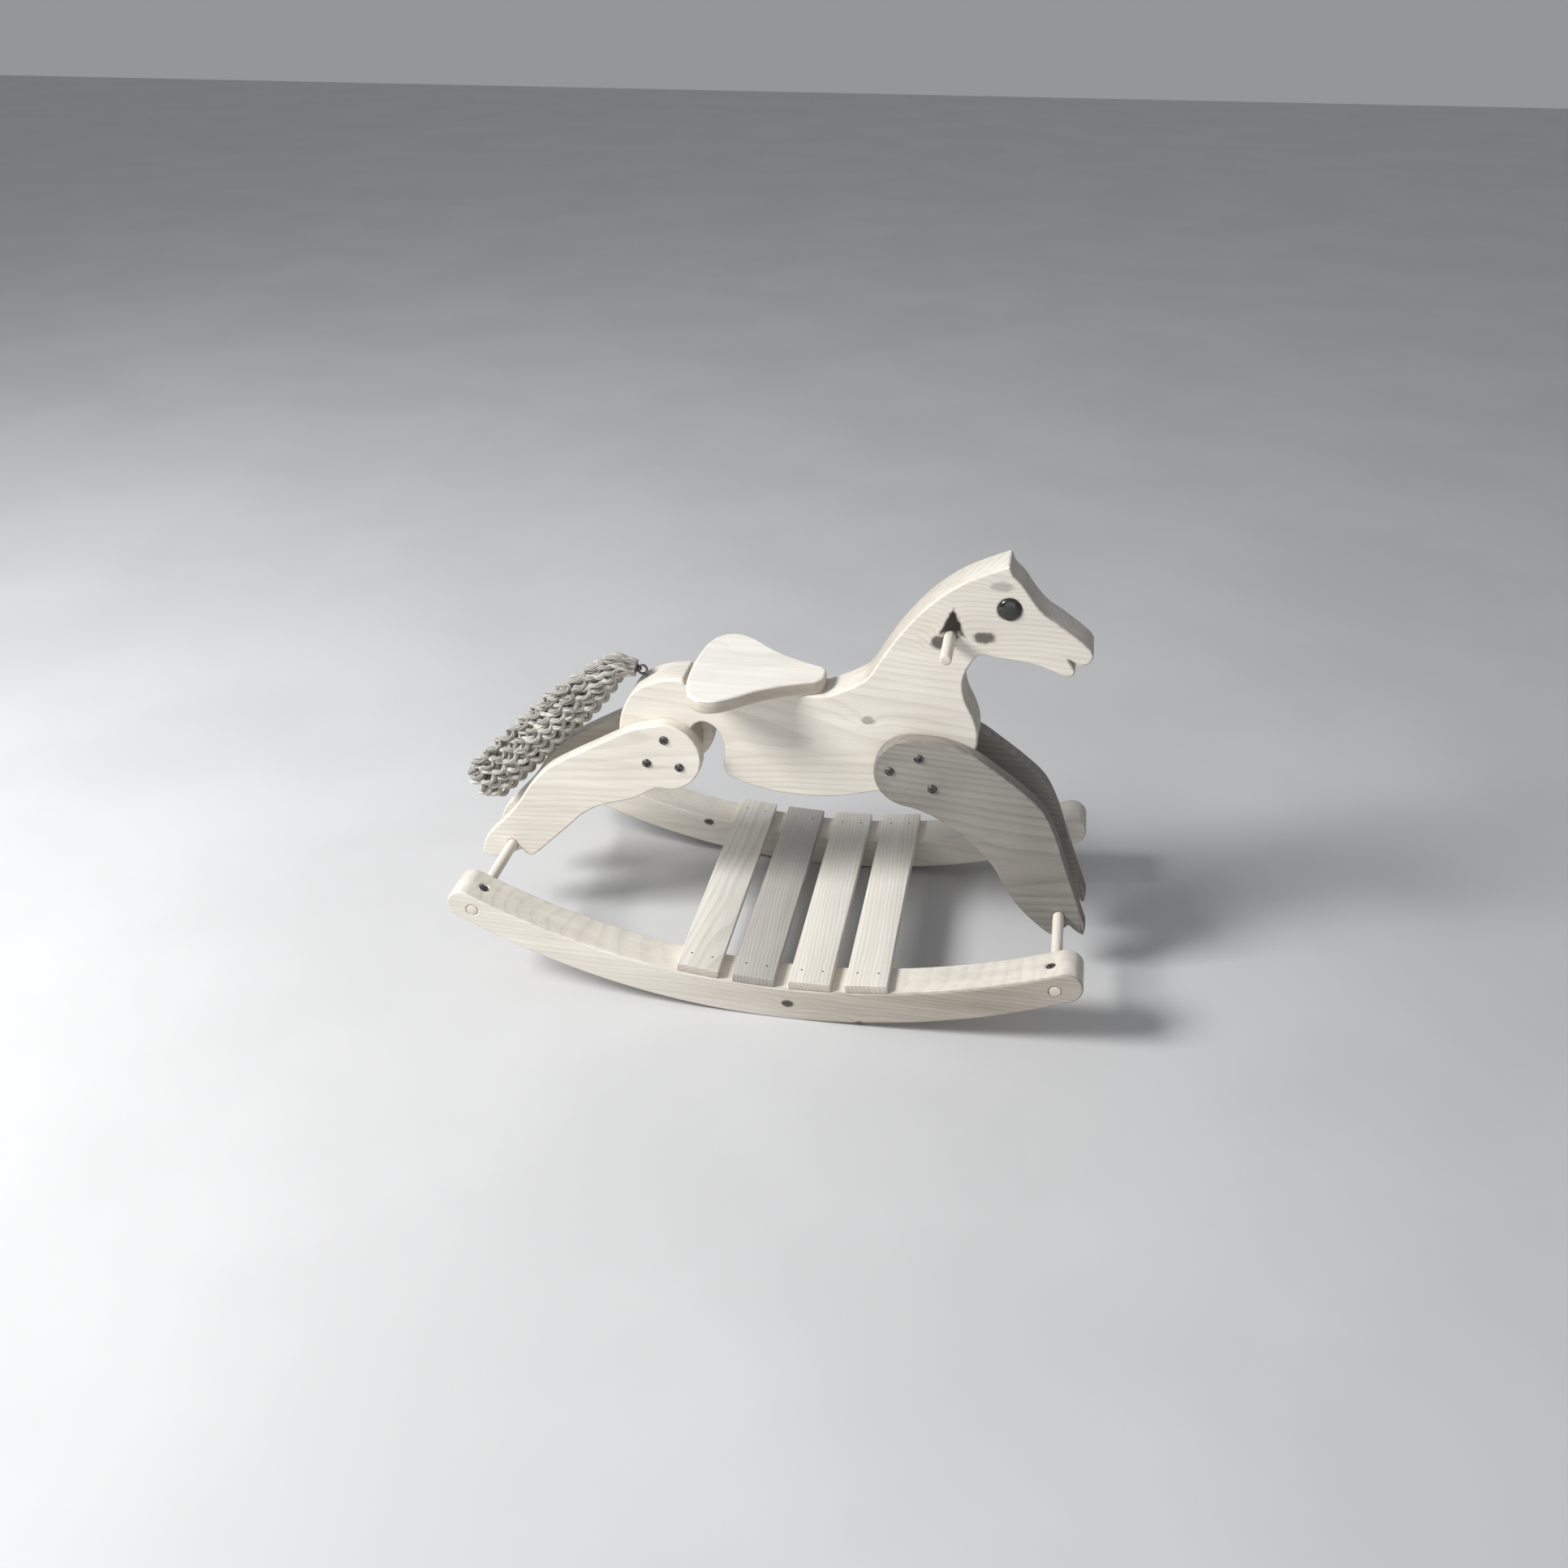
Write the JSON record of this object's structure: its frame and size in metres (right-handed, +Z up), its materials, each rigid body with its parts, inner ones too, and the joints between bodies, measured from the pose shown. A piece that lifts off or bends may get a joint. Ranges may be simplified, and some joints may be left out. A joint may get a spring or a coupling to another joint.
{
  "type": "rocking horse",
  "caption": "Child's bow rocking horse: flat profile body and head, saddle board, screwed leg boards, curved rockers joined by round bars and foot slats, hinged rope tail.",
  "frame": {"origin": "bottom centre of the whole object's box, on the floor the rockers stand on", "axes": "+X is the way the horse faces, +Y is its left side, +Z is up"},
  "size_m": [0.7088, 0.346, 0.469],
  "materials": {
    "pine": "clear matt varnish on pale pine",
    "saddle_wood": "thin white-stained pine, smooth",
    "leg_pine": "clear matt varnish on pale pine",
    "leg_shade": "greyer, darker board with open grain",
    "rocker_pine": "clear matt varnish on pine, worn on the edges",
    "slat_pale": "planed pine slat",
    "slat_grey": "greyer planed pine slat",
    "bar_beech": "round beech bar",
    "steel": "dull dark steel",
    "eye_black": "glossy black dome",
    "rope": "unravelled twisted rope, undyed"
  },
  "bodies": {
    "horse": {"body_board": "pine", "saddle": "saddle_wood", "saddle_dowels": "bar_beech", "leg_rear_right": "leg_pine", "leg_rear_left": "leg_pine", "leg_front_right": "leg_shade", "leg_front_left": "leg_shade", "screws_rear_right": "steel", "screws_rear_left": "steel", "screws_front_right": "steel", "screws_front_left": "steel", "rocker_right": "rocker_pine", "rocker_left": "rocker_pine", "crossbar_front": "bar_beech", "crossbar_rear": "bar_beech", "crossbar_screws": "steel", "slat_1": "slat_pale", "slat_2": "slat_grey", "slat_3": "slat_pale", "slat_4": "slat_pale", "slat_nails": "steel", "handle": "bar_beech", "handle_pin": "bar_beech", "eye_right": "eye_black", "eye_left": "eye_black", "tail_eye": "steel"},
    "tail_bunch": {"tail_loop": "steel", "tail_ferrule": "bar_beech", "tail": "rope"}
  },
  "joints": [
    {"name": "tail_swing", "type": "hinge", "parent": "horse", "child": "tail_bunch", "pos_m": [-0.1404, 0, 0.3129], "axis": [0, 1, 0], "range_deg": [0, 35]}
  ]
}
